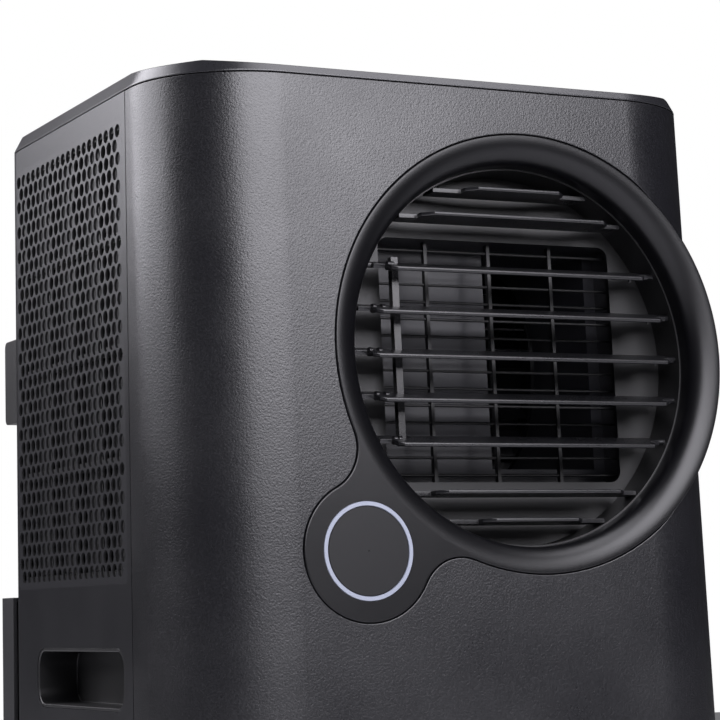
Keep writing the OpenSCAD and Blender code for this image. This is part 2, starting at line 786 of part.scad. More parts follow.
module condenser() {
  color("#b7bcc2") {
    slab([intake_x[0], intake_x[1]], condenser_y, condenser_z);
    for (i = [0 : 7]) translate([intake_x[0], (condenser_y[0] + condenser_y[1]) / 2, condenser_z[0] + 12 + i * 22])
      rotate([90, 0, 0]) rotate([0, 0, 90]) rotate_extrude(angle = 180) translate([5.5, 0]) circle(3);
    for (x = [intake_x[0] + 40, intake_x[1] - 52])
      slab([x, x + 12], [condenser_y[0] + 4, condenser_y[1] - 4], [z_tray + wall, condenser_z[0] + eps]);
  }
}

// Scroll of the condenser fan and its duct to the exhaust
module fan_housing() {
  y = [fan_y - fan_w / 2 - 4, fan_y + fan_w / 2 + 4];
  duct_x = [exhaust_x - exhaust_r - 2, exhaust_x + exhaust_r + 2];
  t = 3;
  color("#2f3134") difference() {
    union() {
      translate([fan_x, 0, fan_z]) rod_y(fan_shell_r + t, y + [-t, t]);
      slab(duct_x + [-t, t], y + [-t, t], [fan_z, exhaust_z + exhaust_r + 2 + t]);
      slab([fan_x - 40, fan_x + 40], y, [z_tray + wall, fan_z - fan_shell_r]);
      slab([fan_x - 90, fan_x - 60], y, [z_tray + wall, fan_z - 60]);
    }
    translate([fan_x, 0, fan_z]) rod_y(fan_shell_r, y);
    slab(duct_x, y, [fan_z, exhaust_z + exhaust_r + 2]);
    translate([fan_x, 0, fan_z]) rod_y(fan_r - 14, [y[1] - 1, y[1] + t + 1]);
    translate([exhaust_x, 0, exhaust_z]) rod_y(exhaust_r - duct_step, [y[1] - 1, y[1] + t + 1]);
    translate([fan_x, 0, fan_z]) rod_y(shaft_r + 3, [y[0] - t - 1, y[0] + 1]);
  }
}

// Round duct from the scroll to the collar, a little narrower so that the hose stops on it
module exhaust_duct() {
  r = exhaust_r - duct_step;
  color("#2f3134") translate([exhaust_x, 0, exhaust_z]) difference() {
    rod_y(r + exhaust_t, [fan_y + fan_w / 2 + 7, y_rear + 4]);
    rod_y(r, [fan_y, y_back]);
  }
}

module fan_wheel() {
  color("#e4e5e7") translate([fan_x, fan_y, fan_z]) rotate([0, 0, -90]) {
    cage(fan_r, fan_w, blade_n);
    rod_x(shaft_r, [-13, fan_w / 2 + 18]);
  }
}

// Motor on the front wall of the fan scroll
module fan_motor() {
  y1 = fan_y - fan_w / 2 - 7;
  can_r = 38;
  can = [y1 - 50, y1 - 6];
  boss_r = 20;
  bore_l = 30;
  color("#9da1a6") translate([fan_x, 0, fan_z]) difference() {
    union() {
      rod_y(can_r, can);
      rod_y(boss_r, [can[1] - 2, y1]);
    }
    rod_y(shaft_r + run_gap, [y1 - bore_l, y1 + 1]);
  }
}

// Upright hermetic shell with domed ends, a foot plate and its suction accumulator
module compressor() {
  dome = 18;
  plate_t = 3;
  strap = [10, 20];
  strap_z = comp_z + 90;
  body_top = comp_z + comp_h - dome;
  color("#1c1c1e") translate([comp_x, comp_y, 0]) {
    rod_z(comp_r, [comp_z + 2, body_top]);
    translate([0, 0, body_top]) rod_z(comp_r - 8, [-1, dome / 2]);
    translate([0, 0, body_top]) rod_z(comp_r - 22, [-1, dome]);
    rod_z(comp_r + 11, [comp_z, comp_z + plate_t]);
    translate([0, acc_y, 0]) rod_z(acc_r, acc_z);
    slab([-strap[0] / 2, strap[0] / 2], [acc_y + 10, -comp_r + 6], [strap_z, strap_z + strap[1]]);
  }
}

// Rubber feet below the foot plate
module compressor_feet() {
  foot_r = 7;
  color("#111112") for (a = [30 : 120 : 359]) translate([comp_x, comp_y, 0]) rotate([0, 0, a])
    translate([comp_r + 2, 0, 0]) rod_z(foot_r, [comp_z - comp_foot_h, comp_z]);
}

// Pipe of radius r through a list of points, with a brazed ball fitting at each corner
module pipe(points, r) {
  for (i = [0 : len(points) - 2]) {
    v = points[i + 1] - points[i];
    l = norm(v);
    translate(points[i]) rotate([0, acos(v[2] / l), atan2(v[1], v[0])]) cylinder(r = r, h = l);
    if (i > 0) translate(points[i]) sphere(1.3 * r);
  }
}

// Suction, discharge and liquid lines
module refrigerant_pipes() {
  z_top = comp_z + comp_h + 24;
  y_acc = comp_y + acc_y;
  gap = bend_pitch(coil_z, coil_bends);
  z_suction = coil_z[0] + 10 + gap;
  z_liquid = coil_z[0] + 10 + 2 * gap;
  y_end = coil_y[0] + 8;
  y_turn = condenser_y[0] - 18;
  x_hot = comp_x + 22;
  z_hot = condenser_z[1] - 20;
  hot_r = 4;
  x_cool = comp_x - 45;
  z_cool = condenser_z[0] + 30;
  color("#b5703c") {
    pipe([[comp_x, y_acc, acc_z[1]], [comp_x, y_acc, z_top], [pipe_x[0], y_acc, z_top],
      [pipe_x[0], pipe_y, z_top], [pipe_x[0], pipe_y, z_suction], [pipe_x[0], y_end, z_suction]], pipe_r[0]);
    pipe([[x_hot, comp_y, comp_z + comp_h], [x_hot, comp_y, z_top], [x_hot, y_turn, z_top],
      [x_hot, y_turn, z_hot], [x_hot, condenser_y[0], z_hot]], hot_r);
    pipe([[x_cool, condenser_y[0], z_cool], [x_cool, y_turn, z_cool], [pipe_x[1], y_turn, z_cool],
      [pipe_x[1], pipe_y, z_cool], [pipe_x[1], pipe_y, z_liquid], [pipe_x[1], y_end, z_liquid]], pipe_r[1]);
  }
}

// Closed box for the power board, on the right behind the front panel
module electrical_box() {
  x = [90, 190];
  y = [-96, -46];
  top = z_base + 190;
  t = 3;
  color("#4a4d52") difference() {
    slab(x, y, [z_tray + wall, top]);
    slab(x + [t, -t], y + [t, -t], [z_base, top - t]);
  }
}

// ---------- rear fittings ----------

// Round collar that takes the exhaust hose
module exhaust_collar() {
  r = exhaust_r + exhaust_t;
  color("#1d1d1f") translate([exhaust_x, 0, exhaust_z]) difference() {
    union() {
      rod_y(r, [y_rear + 4, y_back]);
      rod_y(r + 8, [y_back - 2 * wall, y_back - wall]);
    }
    rod_y(exhaust_r, [y_rear, y_back + 1]);
  }
}

// Slatted grille in the lower rear cover
module intake_grille() {
  n = 22;
  z = intake_z;
  step = (z[1] - z[0]) / n;
  color("#1d1d1f") {
    plate_xz(y_back - wall, wall) difference() {
      round_rect([intake_x[0], z[0]], [intake_x[1], z[1]], 8);
      for (i = [0 : n - 1]) for (k = [0 : 3]) {
        w = (intake_x[1] - intake_x[0] - 16) / 4;
        translate([intake_x[0] + 10 + k * w, z[0] + i * step + 2.5]) square([w - 5, step - 3.6]);
      }
    }
  }
}

// Rubber plugs of the two drains
module drain_cap(stub) {
  color("#0f0f10") {
    rod_y(cap_r, [0, 5]);
    rod_y(stub - run_gap, [-9, 1]);
    slab([-2, 2], [4, 9], [-6, 6]);
  }
}
module drain_cap_upper() { translate([drain_x, spout_end, drain_z]) drain_cap(drain_r - 2); }
module drain_cap_lower() { translate([0, y_rear, z_tray + wall + drain_r + 1]) drain_cap(drain_r); }

// Gland where the power cord would enter
module cable_gland() {
  color("#111112") translate([drain_x, 0, gland_z]) difference() {
    union() {
      rod_y(gland_r, [y_back - wall - 4, y_back]);
      rod_y(gland_r + 4, [y_back - wall - 4, y_back - wall]);
    }
    rod_y(4, [y_back - wall - 5, y_back + 1]);
  }
}

// ---------- castors ----------

// Swivel fork with stem and axle, origin on the swivel axis
module castor_fork() {
  z1 = ground_gap - slide_gap;
  cheek = 3;
  in = wheel_w / 2 + slide_gap;
  top = 2 * wheel_r + 1.5;
  color("#1a1a1c") {
    rod_z(stem_r, [z1 - eps, ground_gap + boss_h - 2]);
    rod_z(13, [top, z1]);
    slab([-in - cheek, in + cheek], [-4, castor_trail + 5], [top, z1]);
    for (s = [-1, 1]) slab([s * (in + cheek / 2) - cheek / 2, s * (in + cheek / 2) + cheek / 2],
      [castor_trail - 6, castor_trail + 5], [wheel_r - 5, top + eps]);
    translate([0, castor_trail, wheel_r]) rod_x(axle_r, [-in - cheek, in + cheek]);
  }
}
module castor_wheel() {
  color("#2c2c2f") translate([0, castor_trail, wheel_r]) difference() {
    rod_x(wheel_r, [-wheel_w / 2, wheel_w / 2]);
    rod_x(axle_r + run_gap, [-wheel_w, wheel_w]);
    for (s = [-1, 1]) difference() {
      rod_x(wheel_r - 4, s > 0 ? [wheel_w / 2 - 2, wheel_w] : [-wheel_w, -wheel_w / 2 + 2]);
      rod_x(axle_r + 3, [-wheel_w - 1, wheel_w + 1]);
    }
  }
}
module at_castor(side, row) { translate([side * castor_x, castor_y[row], 0]) children(); }
module castor_fork_fl() { at_castor(-1, 0) castor_fork(); }
module castor_fork_fr() { at_castor(1, 0) castor_fork(); }
module castor_fork_rl() { at_castor(-1, 1) castor_fork(); }
module castor_fork_rr() { at_castor(1, 1) castor_fork(); }
module castor_wheel_fl() { at_castor(-1, 0) castor_wheel(); }
module castor_wheel_fr() { at_castor(1, 0) castor_wheel(); }
module castor_wheel_rl() { at_castor(-1, 1) castor_wheel(); }
module castor_wheel_rr() { at_castor(1, 1) castor_wheel(); }

// Round-headed screws of the rear panel and the rear cover
module case_screws() {
  rows = concat([for (z = panel_screw_z) [y_rear, z]], [for (z = cover_screw_z) [y_back - sink, z]]);
  color("#6d7075") for (p = rows) for (s = [-1, 1]) translate([s * screw_x, p[0], p[1]]) difference() {
    union() {
      rod_y(4, [0, 2]);
      rod_y(screw_r, [-wall - 4, eps]);
    }
    slab([-2.6, 2.6], [1, 3], [-0.5, 0.5]);
    slab([-0.5, 0.5], [1, 3], [-2.6, 2.6]);
  }
}

// Screw holes through a rear sheet whose outer face is at y
module screw_holes(y, heights) {
  for (z = heights) for (s = [-1, 1]) translate([s * screw_x, 0, z]) rod_y(screw_r + 0.2, [y - wall - 1, y + 1]);
}

base_tray();
front_panel();
side_panel_left();
side_panel_right();
rear_panel();
rear_cover();
top_cover();
outlet_bezel();
outlet_barrel();
outlet_guard();
fixed_louvres();
vane_1();
vane_2();
vane_3();
vane_4();
vane_5();
vane_link();
vane_motor();
touch_disc();
light_ring();
touch_board();
side_grille_left();
side_grille_right();
filter_frame_left();
filter_frame_right();
filter_mesh_left();
filter_mesh_right();
grip_left();
grip_right();
deck_tray();
evaporator_left();
evaporator_right();
blower_housing();
blower_wheel();
blower_motor();
condenser();
fan_housing();
exhaust_duct();
fan_wheel();
fan_motor();
compressor();
compressor_feet();
refrigerant_pipes();
electrical_box();
exhaust_collar();
intake_grille();
drain_cap_upper();
drain_cap_lower();
cable_gland();
castor_fork_fl();
castor_fork_fr();
castor_fork_rl();
castor_fork_rr();
castor_wheel_fl();
castor_wheel_fr();
castor_wheel_rl();
castor_wheel_rr();
case_screws();
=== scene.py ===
# %% [markdown]
# # A portable air conditioner
# This lesson dresses the CAD model of a portable air conditioner: a tall box of charcoal
# plastic with a big round outlet, a touch disc with a ring of light, and perforated sides.
# The CAD model is the frame. It gives every place and size, and each piece made here sits
# exactly where the CAD piece sat.

# %% The frame
import math

import bmesh
import bpy
from mathutils import Matrix, Vector


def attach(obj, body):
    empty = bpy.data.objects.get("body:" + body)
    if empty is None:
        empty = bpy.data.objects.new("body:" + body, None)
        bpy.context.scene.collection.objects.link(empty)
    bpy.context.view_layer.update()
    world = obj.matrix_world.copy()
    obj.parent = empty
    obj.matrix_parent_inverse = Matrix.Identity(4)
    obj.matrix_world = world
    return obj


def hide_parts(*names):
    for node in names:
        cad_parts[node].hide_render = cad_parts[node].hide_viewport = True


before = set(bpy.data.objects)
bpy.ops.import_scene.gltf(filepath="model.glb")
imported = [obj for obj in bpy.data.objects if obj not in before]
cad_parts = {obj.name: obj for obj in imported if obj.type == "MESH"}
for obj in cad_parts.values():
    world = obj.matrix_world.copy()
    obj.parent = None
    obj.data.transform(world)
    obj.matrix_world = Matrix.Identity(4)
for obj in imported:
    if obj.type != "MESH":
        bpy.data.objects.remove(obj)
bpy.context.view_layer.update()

# %% [markdown]
# ## Sizes
# Blender works in metres and the CAD in millimetres, so one factor turns one into the other.
# The outlet sits on a front that leans back a little. Its pieces are easier to model upright
# and straight, in a frame of their own: the origin is the centre of the round opening on the
# face, X is to the right, Y goes into the machine and Z is up. One matrix then puts them in
# place, so every piece shares the same lean.

# %% Sizes of the casing in metres, and of the outlet in mm
MM = 0.001
LEAN = math.radians(2.35)
CORNER_R = 78 * MM
REAR_CORNER_R = 25 * MM
HALF_W = 210 * MM
RING = Vector((48, -181.16, 580)) * MM
RING_R, BORE_R, BARREL_R, BEZEL_D, LIP_D = 150, 131, 133, 48, 14
LOBE_R, LOBE_DIST = 46, 188
ON_FACE = Matrix.Translation(RING) @ Matrix.Rotation(-LEAN, 4, "X")
LOBE = Vector((-1, 0, -1)).normalized() * LOBE_DIST * MM
print("outlet centre on the face", [round(c, 4) for c in RING])


# %% [markdown]
# ## Working by hand, in code
# In Blender's window a modeller clicks: add a primitive, select some faces, extrude, bevel.
# The helpers below do the same clicks. An operator works on whatever is selected, so each
# starts by clearing the selection. Selecting is done by asking each face or edge where it is
# and which way it looks.

# %% Helpers for modelling
def clear():
    """Leaves edit mode and deselects everything."""
    if bpy.context.object and bpy.context.object.mode != "OBJECT":
        bpy.ops.object.mode_set(mode="OBJECT")
    bpy.ops.object.select_all(action="DESELECT")


def take(obj):
    """Makes obj the one selected and active object."""
    clear()
    obj.select_set(True)
    bpy.context.view_layer.objects.active = obj


def begin(kind, name, scale=(1, 1, 1), **size):
    """Adds a primitive, named and with its scale applied."""
    clear()
    getattr(bpy.ops.mesh, f"primitive_{kind}_add")(**size)
    obj = bpy.context.object
    obj.name = obj.data.name = name
    obj.scale = scale
    bpy.ops.object.transform_apply(location=True, rotation=True, scale=True)
    return obj


def pick(obj, kind, test):
    """Enters edit mode with only those faces, edges or vertices selected that pass the test."""
    take(obj)
    bpy.ops.object.mode_set(mode="EDIT")
    bpy.ops.mesh.select_mode(type=kind)
    bpy.ops.mesh.select_all(action="DESELECT")
    mesh = bmesh.from_edit_mesh(obj.data)
    found = 0
    for item in {"VERT": mesh.verts, "EDGE": mesh.edges, "FACE": mesh.faces}[kind]:
        corners = [item] if kind == "VERT" else list(item.verts)
        centre = sum((v.co for v in corners), Vector()) / len(corners)
        if kind == "EDGE":
            looks = (corners[1].co - corners[0].co).normalized()
        else:
            looks = item.normal
        if test(centre, looks):
            item.select_set(True)
            found += 1
    bmesh.update_edit_mesh(obj.data)
    return found


def everything(obj):
    """Enters edit mode with the whole mesh selected."""
    take(obj)
    bpy.ops.object.mode_set(mode="EDIT")
    bpy.ops.mesh.select_all(action="SELECT")


def use(obj, kind, **settings):
    """Adds a modifier with these settings and applies it."""
    take(obj)
    modifier = obj.modifiers.new(kind.title(), kind)
    for key, value in settings.items():
        setattr(modifier, key, value)
    bpy.ops.object.modifier_apply(modifier=modifier.name)


def cut(obj, cutter, operation="DIFFERENCE"):
    """Boolean of obj with a cutter, which is then removed."""
    use(obj, "BOOLEAN", object=cutter, operation=operation, solver="EXACT")
    bpy.data.objects.remove(cutter)


def place(obj, matrix):
    """Moves obj by a matrix and applies it, so the object stays at the origin."""
    take(obj)
    obj.matrix_world = matrix @ obj.matrix_world
    bpy.ops.object.transform_apply(location=True, rotation=True, scale=True)


def join(name, pieces):
    """Joins pieces into the first one."""
    clear()
    for piece in pieces:
        piece.select_set(True)
    bpy.context.view_layer.objects.active = pieces[0]
    bpy.ops.object.join()
    pieces[0].name = pieces[0].data.name = name
    return pieces[0]


def copy_of(obj, name):
    """Copy with a mesh of its own."""
    new = bpy.data.objects.new(name, obj.data.copy())
    new.data.name = name
    bpy.context.scene.collection.objects.link(new)
    return new


def smooth(obj, angle=32):
    """Smooth shading, except over edges sharper than the angle. Large faces keep their own normal."""
    take(obj)
    bpy.ops.object.shade_smooth_by_angle(angle=math.radians(angle))
    use(obj, "WEIGHTED_NORMAL", keep_sharp=True, weight=100)


def merged(node, name):
    """Copy of a CAD node with its triangles welded and its flat faces made whole."""
    obj = copy_of(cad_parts[node], name)
    everything(obj)
    bpy.ops.mesh.remove_doubles(threshold=0.004 * MM)
    bpy.ops.mesh.dissolve_limited(angle_limit=math.radians(0.4))
    bpy.ops.object.mode_set(mode="OBJECT")
    return obj


def softened(node, name, radius, segments=3, angle=32):
    """Welded copy of a CAD node with its sharp edges rounded."""
    obj = merged(node, name)
    use(obj, "BEVEL", width=radius * MM, segments=segments, limit_method="ANGLE",
        angle_limit=math.radians(angle), miter_outer="MITER_ARC", use_clamp_overlap=True)
    smooth(obj, angle)
    return obj


# %% [markdown]
# ## Materials
# Every finish starts from what the real part is. The casing is ABS from a mould whose walls
# were spark eroded, which leaves a fine leathery grain. The duct parts are plainer black
# plastic. One function adds a shader node with its settings and links, and each finish is a
# short recipe of such nodes. Patterns read Object coordinates, which are metres in the frame,
# so a grain of 1.2 mm is a scale of 1 / 0.0012.

# %% Helpers for materials
def linear(code):
    """Linear colour of an sRGB hex value."""
    parts = [int(code[i:i + 2], 16) / 255 for i in (1, 3, 5)]
    return tuple(c / 12.92 if c <= 0.04045 else ((c + 0.055) / 1.055) ** 2.4 for c in parts) + (1,)


def add(tree, kind, settings=None, **inputs):
    """Adds a node. Inputs are values, or (node, output) pairs to link from."""
    node = tree.nodes.new(kind)
    for key, value in (settings or {}).items():
        setattr(node, key, value)
    for key, value in inputs.items():
        socket = node.inputs[int(key[1:])] if key[0] == "_" else node.inputs[key.replace("_", " ")]
        if isinstance(value, tuple) and isinstance(value[0], bpy.types.Node):
            tree.links.new(value[0].outputs[value[1]], socket)
        else:
            socket.default_value = value
    return node


def new_material(name):
    """Empty node tree with an output and the object's own coordinates."""
    material = bpy.data.materials.new(name)
    material.use_nodes = True
    tree = material.node_tree
    tree.nodes.clear()
    return material, tree, add(tree, "ShaderNodeTexCoord")


def plastic(name, dark, light, rough, grain, depth, drift=0.05, coat=0.0, ior=1.5):
    """Moulded plastic: two near tones, and a grain of a given size in mm that also breaks the gloss."""
    material, tree, coord = new_material(name)
    slow = add(tree, "ShaderNodeTexNoise", Vector=(coord, "Object"), Scale=14.0, Detail=3.0)
    fine = add(tree, "ShaderNodeTexNoise", Vector=(coord, "Object"), Scale=1 / (grain * MM), Detail=2.0,
               Roughness=0.6)
    cells = add(tree, "ShaderNodeTexVoronoi", Vector=(coord, "Object"), Scale=0.8 / (grain * MM))
    speck = add(tree, "ShaderNodeMath", {"operation": "MULTIPLY_ADD"}, _0=(cells, "Distance"), _1=0.5,
                _2=(fine, "Fac"))
    tone = add(tree, "ShaderNodeMix", {"data_type": "RGBA"}, _0=(speck, "Value"),
               _6=linear(dark), _7=linear(light))
    bump = add(tree, "ShaderNodeBump", Height=(speck, "Value"), Distance=depth * MM, Strength=1.0)
    both = add(tree, "ShaderNodeMath", {"operation": "MULTIPLY_ADD"}, _0=(speck, "Value"), _1=0.6,
               _2=(slow, "Fac"))
    shine = add(tree, "ShaderNodeMapRange", Value=(both, "Value"), From_Min=0.6, From_Max=1.2,
                To_Min=rough - drift, To_Max=rough + drift)
    shader = add(tree, "ShaderNodeBsdfPrincipled", Base_Color=(tone, 2), Roughness=(shine, "Result"),
                 Normal=(bump, "Normal"), IOR=ior, Coat_Weight=coat, Coat_Roughness=0.25)
    add(tree, "ShaderNodeOutputMaterial", Surface=(shader, "BSDF"))
    return material


def metal(name, dark, light, rough, streak, depth, stretch=(1, 1, 1)):
    """Bare metal: two near tones and a fine grain, which stretch draws out along an axis."""
    material, tree, coord = new_material(name)
    mapping = add(tree, "ShaderNodeMapping", Vector=(coord, "Object"), Scale=stretch)
    grain = add(tree, "ShaderNodeTexNoise", Vector=(mapping, "Vector"), Scale=1 / (streak * MM), Detail=3.0)
    slow = add(tree, "ShaderNodeTexNoise", Vector=(coord, "Object"), Scale=30.0, Detail=2.0)
    tone = add(tree, "ShaderNodeMix", {"data_type": "RGBA"}, _0=(slow, "Fac"),
               _6=linear(dark), _7=linear(light))
    shine = add(tree, "ShaderNodeMapRange", Value=(grain, "Fac"), From_Min=0.3, From_Max=0.7,
                To_Min=rough - 0.08, To_Max=rough + 0.08)
    bump = add(tree, "ShaderNodeBump", Height=(grain, "Fac"), Distance=depth * MM, Strength=1.0)
    shader = add(tree, "ShaderNodeBsdfPrincipled", Base_Color=(tone, 2), Metallic=1.0,
                 Roughness=(shine, "Result"), Normal=(bump, "Normal"))
    add(tree, "ShaderNodeOutputMaterial", Surface=(shader, "BSDF"))
    return material


# %% [markdown]
# ### The recipes
# Charcoal plastics look different only through small things: how dark, how shiny, and how
# coarse the grain is. The front has the coarsest grain, so its highlight breaks into sparks.

# %% Finishes
# Spark-eroded ABS: satin, with a leathery grain of about 1.2 mm that scatters the highlight
spark_abs = plastic("spark_grained_ABS", "#050507", "#101013", 0.33, 1.2, 0.11, 0.06)
# Fine-textured ABS of the sides: smoother than the front, a soft even sheen
satin_abs = plastic("satin_ABS", "#0e0e10", "#131316", 0.33, 0.9, 0.03, 0.03)
# Same plastic on the lid, a little more polished
lid_abs = plastic("lid_satin_ABS", "#101012", "#18181b", 0.30, 0.9, 0.03, 0.03)
# Near-black ABS of the bezel: fine texture with a soft wide highlight
bezel_abs = plastic("bezel_black_ABS", "#030304", "#060608", 0.32, 0.8, 0.02, 0.03, 0.0, 1.37)
# Black polypropylene of ducts and frames, straight from a polished mould
duct_pp = plastic("duct_polypropylene", "#060607", "#0a0a0b", 0.42, 0.8, 0.03)
# Lighter grey duct wall seen through the guard
baffle_pp = plastic("grey_duct_polypropylene", "#1c1c20", "#242428", 0.40, 0.8, 0.03)
# Vane plastic: smooth, so that edges catch the light
vane_abs = plastic("vane_ABS", "#0a0a0c", "#0f0f11", 0.28, 0.6, 0.01)
# Link bar: smooth black acetal
link_pom = plastic("black_acetal", "#060607", "#08080a", 0.25, 0.6, 0.01)
# Touch disc: smooth dark polycarbonate with a thin hard coat
disc_pc = plastic("touch_polycarbonate", "#060608", "#09090b", 0.44, 0.6, 0.01, 0.03, 0.0, 1.36)
# Rear plastics, matt
rear_abs = plastic("rear_ABS", "#141416", "#19191b", 0.45, 0.9, 0.06)
# Castor nylon and its harder tread
nylon = plastic("glass_filled_nylon", "#0d0d0e", "#121213", 0.45, 0.7, 0.04)
tread = plastic("wheel_polyurethane", "#131315", "#18181a", 0.5, 0.9, 0.05)
# Rubber of caps, feet and gland: very matt
rubber = plastic("EPDM_rubber", "#080809", "#0c0c0d", 0.7, 0.8, 0.05)
# White polystyrene of the fan wheels
wheel_ps = plastic("fan_polystyrene", "#c9cbce", "#d6d8da", 0.4, 0.8, 0.02)
# Circuit board with green solder mask
board = plastic("solder_mask", "#174a30", "#1e5b3a", 0.35, 0.8, 0.01, 0.04, 0.3)
# Metals of the hidden parts
fin_al = metal("aluminium_fins", "#b4b8bd", "#c6cacf", 0.35, 0.9, 0.03, (1, 1, 6))
motor_zn = metal("zinc_plated_steel", "#8f9399", "#a4a8ad", 0.34, 0.6, 0.01)
screw_zn = metal("screw_zinc", "#6c6f74", "#7d8086", 0.3, 0.4, 0.01)
copper = metal("copper_pipe", "#b3683a", "#c27a49", 0.28, 0.5, 0.01)
shell_paint = plastic("black_shell_enamel", "#141415", "#1a1a1c", 0.3, 1.5, 0.02, 0.04, 0.4)
box_paint = plastic("grey_box_enamel", "#46494e", "#50545a", 0.42, 1.2, 0.02)
print("materials", len(bpy.data.materials))

# %% Light guide, grille and gauze
# Opal acrylic of the light ring: white, lit evenly from behind by cool LEDs
light_pmma, tree, coord = new_material("opal_acrylic")
cloud = add(tree, "ShaderNodeTexNoise", Vector=(coord, "Object"), Scale=60.0, Detail=2.0)
tone = add(tree, "ShaderNodeMix", {"data_type": "RGBA"}, _0=(cloud, "Fac"),
           _6=linear("#6d727f"), _7=linear("#787c88"))
shader = add(tree, "ShaderNodeBsdfPrincipled", Base_Color=(tone, 2), Roughness=0.35,
             Emission_Color=linear("#c3c8da"), Emission_Strength=0.05)
add(tree, "ShaderNodeOutputMaterial", Surface=(shader, "BSDF"))

# Perforated insert of the sides: satin skin, and punched holes whose walls get a painted shade, near-black in
# the colour whatever the light
grille_abs_with_painted_shade, tree, coord = new_material("grille_ABS_painted_hole_shade")
place_at = add(tree, "ShaderNodeSeparateXYZ", Vector=(coord, "Object"))
across = add(tree, "ShaderNodeMath", {"operation": "ABSOLUTE"}, _0=(place_at, "X"))
# Mask for the painted shade: 1 on the outer skin, falling to 0 from 0.1 to 0.8 mm inside it, on the hole
# walls
skin = add(tree, "ShaderNodeMapRange", Value=(across, "Value"), From_Min=HALF_W - 0.8 * MM,
           From_Max=HALF_W - 0.1 * MM)
fine = add(tree, "ShaderNodeTexNoise", Vector=(coord, "Object"), Scale=1 / (0.8 * MM), Detail=2.0)
# Painted shade: the hole walls are coloured near-black (#020202) instead of the skin's tone
tone = add(tree, "ShaderNodeMix", {"data_type": "RGBA"}, _0=(skin, "Result"),
           _6=linear("#020202"), _7=linear("#17171a"))
bump = add(tree, "ShaderNodeBump", Height=(fine, "Fac"), Distance=0.03 * MM)
shine = add(tree, "ShaderNodeMapRange", Value=(skin, "Result"), To_Min=0.9, To_Max=0.36)
shader = add(tree, "ShaderNodeBsdfPrincipled", Base_Color=(tone, 2), Roughness=(shine, "Result"),
             Normal=(bump, "Normal"))
add(tree, "ShaderNodeOutputMaterial", Surface=(shader, "BSDF"))

# Woven nylon gauze of the filters: 1.2 mm mesh, drawn coarser than the real 0.3 mm
gauze, tree, coord = new_material("nylon_gauze")
place_at = add(tree, "ShaderNodeSeparateXYZ", Vector=(coord, "Object"))
wave_y = add(tree, "ShaderNodeMath", {"operation": "PINGPONG"}, _0=(place_at, "Y"), _1=0.6 * MM)
wave_z = add(tree, "ShaderNodeMath", {"operation": "PINGPONG"}, _0=(place_at, "Z"), _1=0.6 * MM)
both = add(tree, "ShaderNodeMath", {"operation": "MAXIMUM"}, _0=(wave_y, "Value"), _1=(wave_z, "Value"))
level = add(tree, "ShaderNodeMapRange", Value=(both, "Value"), From_Min=0.3 * MM, From_Max=0.6 * MM)
tone = add(tree, "ShaderNodeMix", {"data_type": "RGBA"}, _0=(level, "Result"),
           _6=linear("#0b0b0c"), _7=linear("#1c1c1e"))
bump = add(tree, "ShaderNodeBump", Height=(level, "Result"), Distance=0.1 * MM)
shader = add(tree, "ShaderNodeBsdfPrincipled", Base_Color=(tone, 2), Roughness=0.6, Normal=(bump, "Normal"))
add(tree, "ShaderNodeOutputMaterial", Surface=(shader, "BSDF"))


# %% Dressing the CAD nodes and handing over new pieces
def dress(obj, material):
    """Puts one material on the whole object."""
    obj.data.materials.clear()
    obj.data.materials.append(material)
    for face in obj.data.polygons:
        face.material_index = 0


def hand_over(obj, material, body="casing", nodes=()):
    """Gives a new piece its finish and its body, and hides the CAD nodes that it stands for."""
    dress(obj, material)
    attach(obj, body)
    if nodes:
        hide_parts(*nodes)
    print(obj.name, len(obj.data.polygons), "faces")


FINISH = {
    spark_abs: ["front_panel"],
    satin_abs: ["side_panel_left", "side_panel_right"],
    lid_abs: ["top_cover"],
    bezel_abs: ["outlet_bezel"],
    duct_pp: ["exhaust_duct", "outlet_barrel", "outlet_guard", "fan_housing", "deck_tray",
              "filter_frame_left",
              "filter_frame_right", "grip_left", "grip_right", "exhaust_collar", "intake_grille"],
    baffle_pp: ["blower_housing"],
    vane_abs: ["vane_1", "vane_2", "vane_3", "vane_4", "vane_5", "fixed_louvres"],
    disc_pc: ["touch_disc"],
    light_pmma: ["light_ring"],
    board: ["touch_board"],
    grille_abs_with_painted_shade: ["side_grille_left", "side_grille_right"],
    gauze: ["filter_mesh_left", "filter_mesh_right"],
    rear_abs: ["rear_panel", "rear_cover", "base_tray"],
    nylon: ["castor_fork_fl", "castor_fork_fr", "castor_fork_rl", "castor_fork_rr"],
    tread: ["castor_wheel_fl", "castor_wheel_fr", "castor_wheel_rl", "castor_wheel_rr"],
    rubber: ["drain_cap_upper", "drain_cap_lower", "cable_gland", "compressor_feet"],
    wheel_ps: ["fan_wheel"],
    link_pom: ["vane_link", "blower_wheel"],
    fin_al: ["evaporator_left", "evaporator_right", "condenser"],
    motor_zn: ["vane_motor", "blower_motor", "fan_motor"],
    screw_zn: ["case_screws"],
    copper: ["refrigerant_pipes"],
    shell_paint: ["compressor"],
    box_paint: ["electrical_box"],
}
for material, names in FINISH.items():
    for name in names:
        dress(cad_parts[name], material)
print("dressed", sum(len(names) for names in FINISH.values()), "of", len(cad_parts))

# %% [markdown]
# ## The lid
# The lid is a shallow moulded tray turned upside down. Its rim slopes inward all round, and
# along the front it is cut lower, so seen from below the edge looks thin. A plane is cut to
# the plan by bevelling its corner vertices, pulled up, inset to slope the rim, and bisected
# by three tilted planes, one along the front and one at each front corner.

# %% Lid
LID_Z, LID_TOP = 760.6 * MM, 773 * MM
LID_FRONT, LID_BACK = -173.77 * MM, 166.5 * MM
LID_FOOT, LID_RIM, BROW_SLOPE = 0.9 * MM, 6 * MM, 0.18
